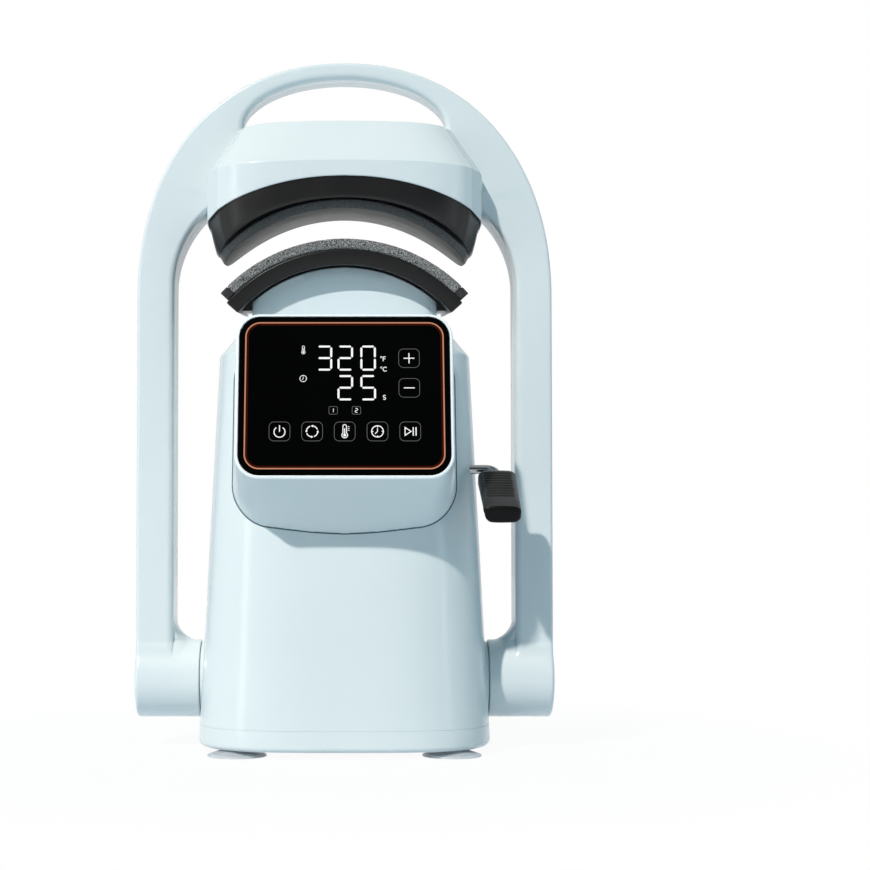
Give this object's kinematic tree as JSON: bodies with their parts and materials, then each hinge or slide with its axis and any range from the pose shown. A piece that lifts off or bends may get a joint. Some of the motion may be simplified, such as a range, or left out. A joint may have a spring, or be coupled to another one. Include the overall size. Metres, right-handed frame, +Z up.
{
  "type": "cap heat press",
  "caption": "Bench-top cap heat press: a swinging arch carries a curved heated head over a padded, lever-lifted lower platen on a tapered body with a touch panel.",
  "frame": {"origin": "on the bench under the middle of the press's outline", "axes": "+X to the press's right side, front is -Y, +Z up"},
  "size_m": [0.2594, 0.1866, 0.421],
  "materials": {
    "shell_blue": "gloss",
    "trim_black": "satin",
    "board_green": "satin",
    "steel": "brushed",
    "bush_brass": "satin",
    "silicone_grey": "satin",
    "panel_black": "gloss",
    "platen_grey": "non-stick coating",
    "heater_rubber": "matte",
    "insulation_white": "matte",
    "foam_grey": "speckled foam",
    "lever_chrome": "polished",
    "grip_black": "ribbed",
    "rocker_black": "satin"
  },
  "bodies": {
    "base": {"base_pan": "shell_blue", "body_shell": "shell_blue", "rear_panel": "trim_black", "panel_housing": "shell_blue", "panel_glass": "panel_black", "display_board": "board_green", "control_board": "board_green", "chassis_frame": "steel", "pivot_axle": "steel", "axle_clips": "steel", "stop_pins": "steel", "camshaft_bushes": "bush_brass", "guide_bushes": "bush_brass", "base_screws": "steel", "foot_front_left": "silicone_grey", "foot_front_right": "silicone_grey", "foot_rear_left": "silicone_grey", "foot_rear_right": "silicone_grey", "power_inlet": "trim_black", "switch_frame": "trim_black"},
    "arch": {"arch_front_shell": "shell_blue", "arch_rear_shell": "shell_blue", "arch_core": "steel", "arch_screws": "steel", "pivot_barrel_left": "shell_blue", "pivot_barrel_right": "shell_blue", "pivot_bush_left": "bush_brass", "pivot_bush_right": "bush_brass", "pivot_cap_left": "shell_blue", "pivot_cap_right": "shell_blue", "head_front_cover": "shell_blue", "head_rear_cover": "shell_blue", "head_shroud": "trim_black", "platen_hanger": "steel", "platen_standoffs": "steel", "heat_platen": "platen_grey", "heating_element": "heater_rubber", "insulation_pad": "insulation_white", "thermal_cutout": "trim_black"},
    "lift": {"pedestal": "shell_blue", "lift_plate": "steel", "guide_posts": "steel", "cam_follower": "steel", "platen_carrier": "trim_black", "press_pad": "foam_grey", "carrier_bracket_left": "steel", "carrier_bracket_right": "steel"},
    "lever": {"lever_rod": "lever_chrome", "lift_cam": "steel", "shaft_collars": "steel", "lever_grip": "grip_black"},
    "rocker": {"power_rocker": "rocker_black"}
  },
  "joints": [
    {"name": "arch_swing", "type": "hinge", "parent": "base", "child": "arch", "pos_m": [0, 0.01355, 0.0415], "axis": [-1, 0, 0], "range_deg": [0, 40]},
    {"name": "lever_pull", "type": "hinge", "parent": "base", "child": "lever", "pos_m": [0, -0.02645, 0.1686], "axis": [1, 0, 0], "range_deg": [0, 60]},
    {"name": "platen_lift", "type": "slide", "parent": "base", "child": "lift", "axis": [0, 0, 1], "range_m": [0, 0.016]},
    {"name": "power_rocker", "type": "hinge", "parent": "base", "child": "rocker", "pos_m": [0.02, 0.08421, 0.052], "axis": [1, 0, 0], "range_deg": [0, 20]}
  ],
  "couplings": [
    {"joint": "platen_lift", "follows": "lever_pull", "m_per_rad": 0.015279}
  ]
}
